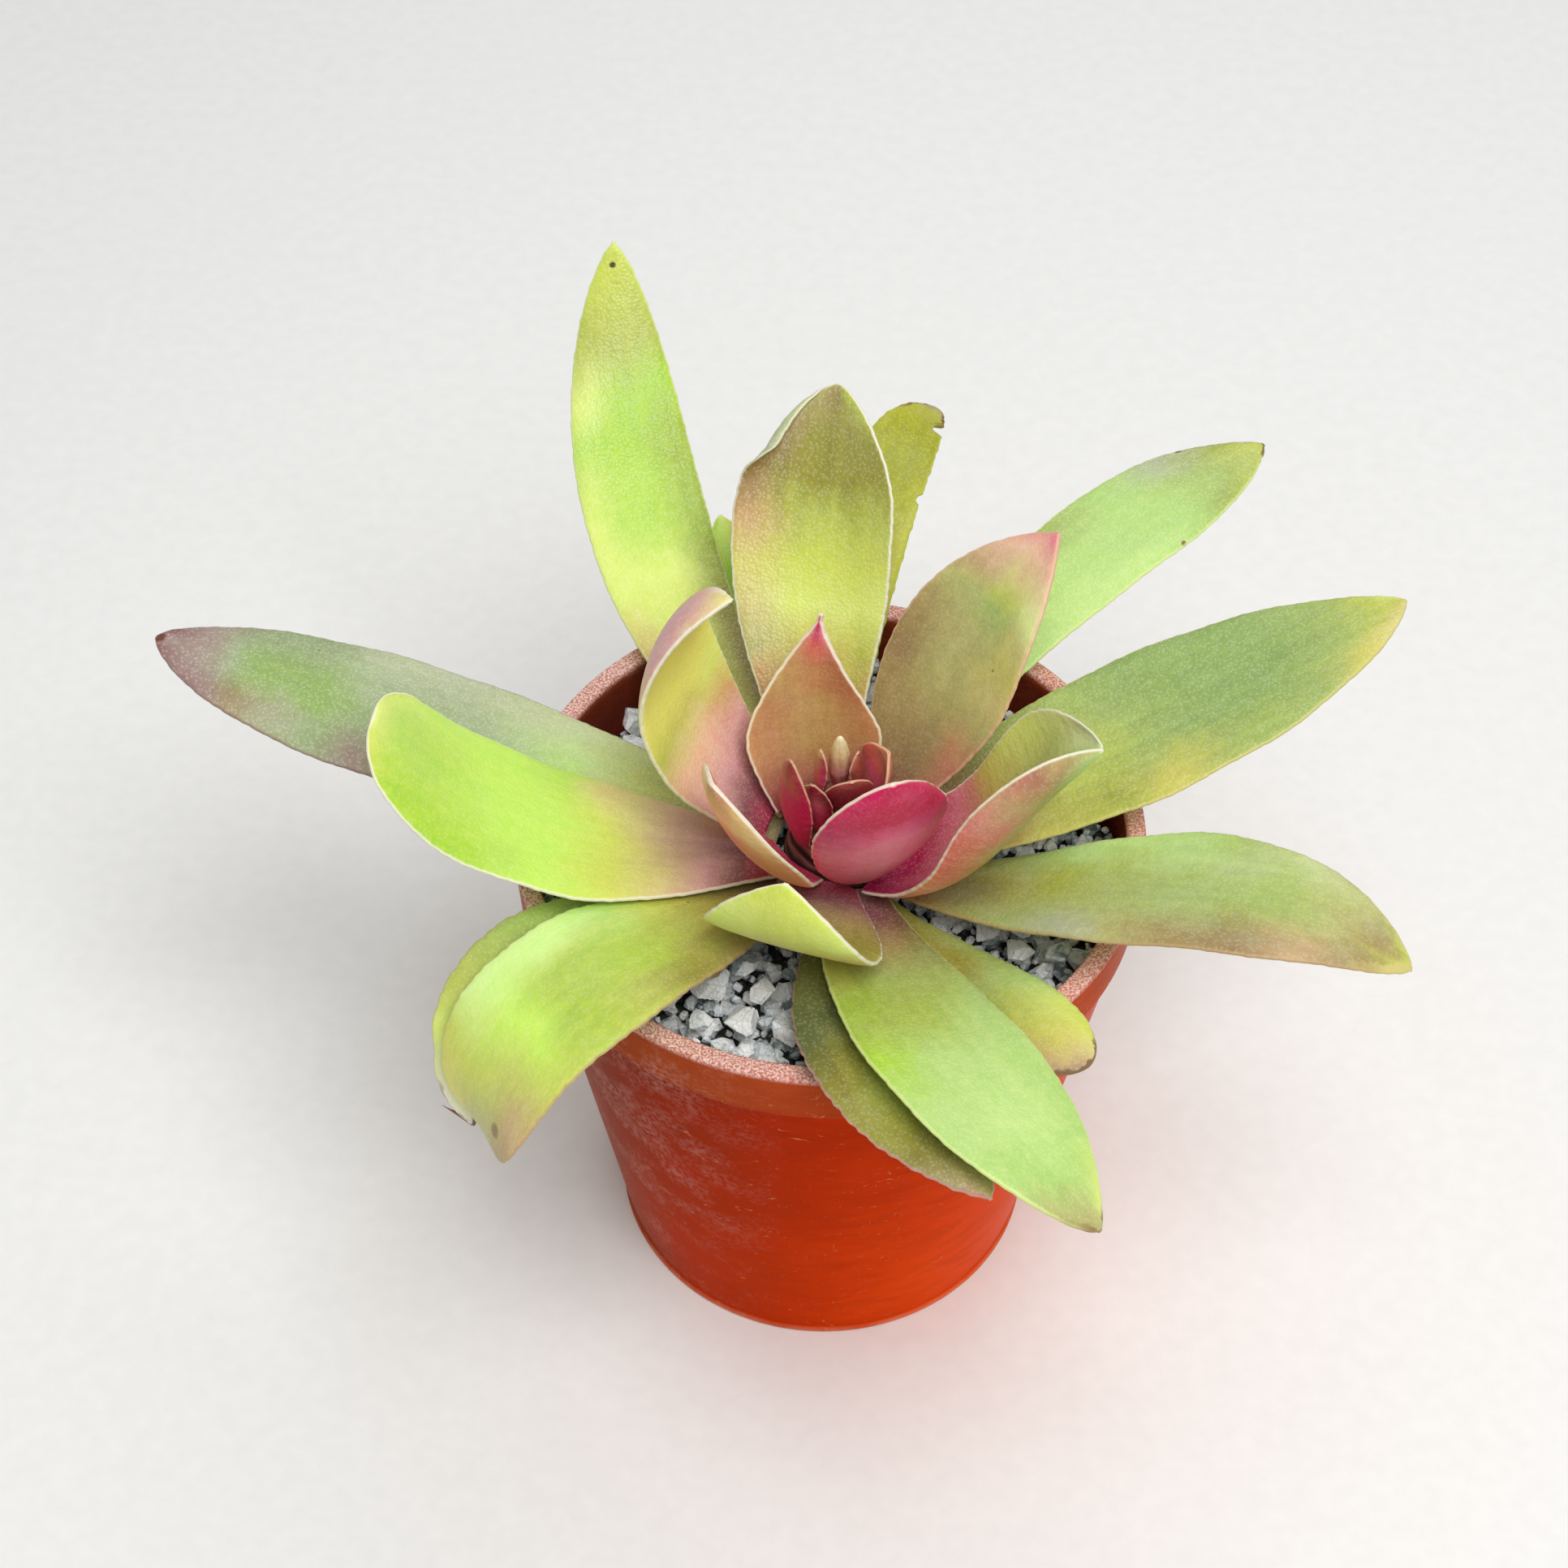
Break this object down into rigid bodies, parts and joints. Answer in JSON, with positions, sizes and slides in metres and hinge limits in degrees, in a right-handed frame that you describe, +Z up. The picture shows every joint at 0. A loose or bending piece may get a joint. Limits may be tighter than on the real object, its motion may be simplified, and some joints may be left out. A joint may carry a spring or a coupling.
{
  "type": "potted succulent",
  "caption": "Rosette succulent with long fleshy leaves, green outside and crimson at the heart, in a round tapered orange-brown plastic pot topped with pale grit.",
  "frame": {"origin": "centre of the pot's flat base", "axes": "+Z up out of the pot's mouth; -Y towards the front, where the short curled leaf and the bare grit are"},
  "size_m": [0.1594, 0.1354, 0.1128],
  "materials": {
    "pot": "glossy",
    "potting_mix": "rough",
    "grit": "rough",
    "stem": "satin",
    "leaf_grey_green": "satin",
    "leaf_lime": "satin",
    "leaf_green": "satin",
    "leaf_olive": "satin",
    "leaf_blush": "satin",
    "leaf_crimson": "satin",
    "bud_cream": "satin"
  },
  "bodies": {
    "root": {"pot": "pot", "potting_mix": "potting_mix", "grit_layer": "grit", "stem": "stem", "bud": "bud_cream", "leaf_front_left_under": "leaf_olive", "leaf_front_right_under": "leaf_olive", "leaf_right_short": "leaf_olive", "leaf_back_sliver": "leaf_lime", "leaf_back_yellow": "leaf_olive", "leaf_left_long": "leaf_grey_green", "leaf_back_right": "leaf_green", "leaf_back_left_tall": "leaf_lime", "leaf_front_left": "leaf_olive", "leaf_right_front": "leaf_green", "leaf_right_back": "leaf_green", "leaf_front_right": "leaf_green", "leaf_left_lime": "leaf_lime", "leaf_front_curled": "leaf_lime", "leaf_inner_back": "leaf_olive", "leaf_inner_right": "leaf_blush", "leaf_inner_canoe": "leaf_blush", "leaf_inner_hood": "leaf_blush", "leaf_heart_back": "leaf_blush", "leaf_heart_left": "leaf_blush", "leaf_heart_front": "leaf_crimson", "leaf_bud_left": "leaf_crimson", "leaf_bud_small": "leaf_crimson", "leaf_bud_right": "leaf_crimson", "leaf_bud_front": "leaf_crimson", "bract_left": "leaf_crimson", "bract_right": "leaf_crimson", "stone_01": "grit", "stone_02": "grit", "stone_03": "grit", "stone_04": "grit", "stone_05": "grit", "stone_06": "grit", "stone_07": "grit", "stone_08": "grit", "stone_09": "grit", "stone_10": "grit", "stone_11": "grit", "stone_12": "grit", "stone_13": "grit", "stone_14": "grit", "stone_15": "grit", "stone_16": "grit", "stone_17": "grit", "stone_18": "grit", "stone_19": "grit", "stone_20": "grit", "stone_21": "grit", "stone_22": "grit", "stone_23": "grit", "stone_24": "grit"}
  },
  "joints": []
}
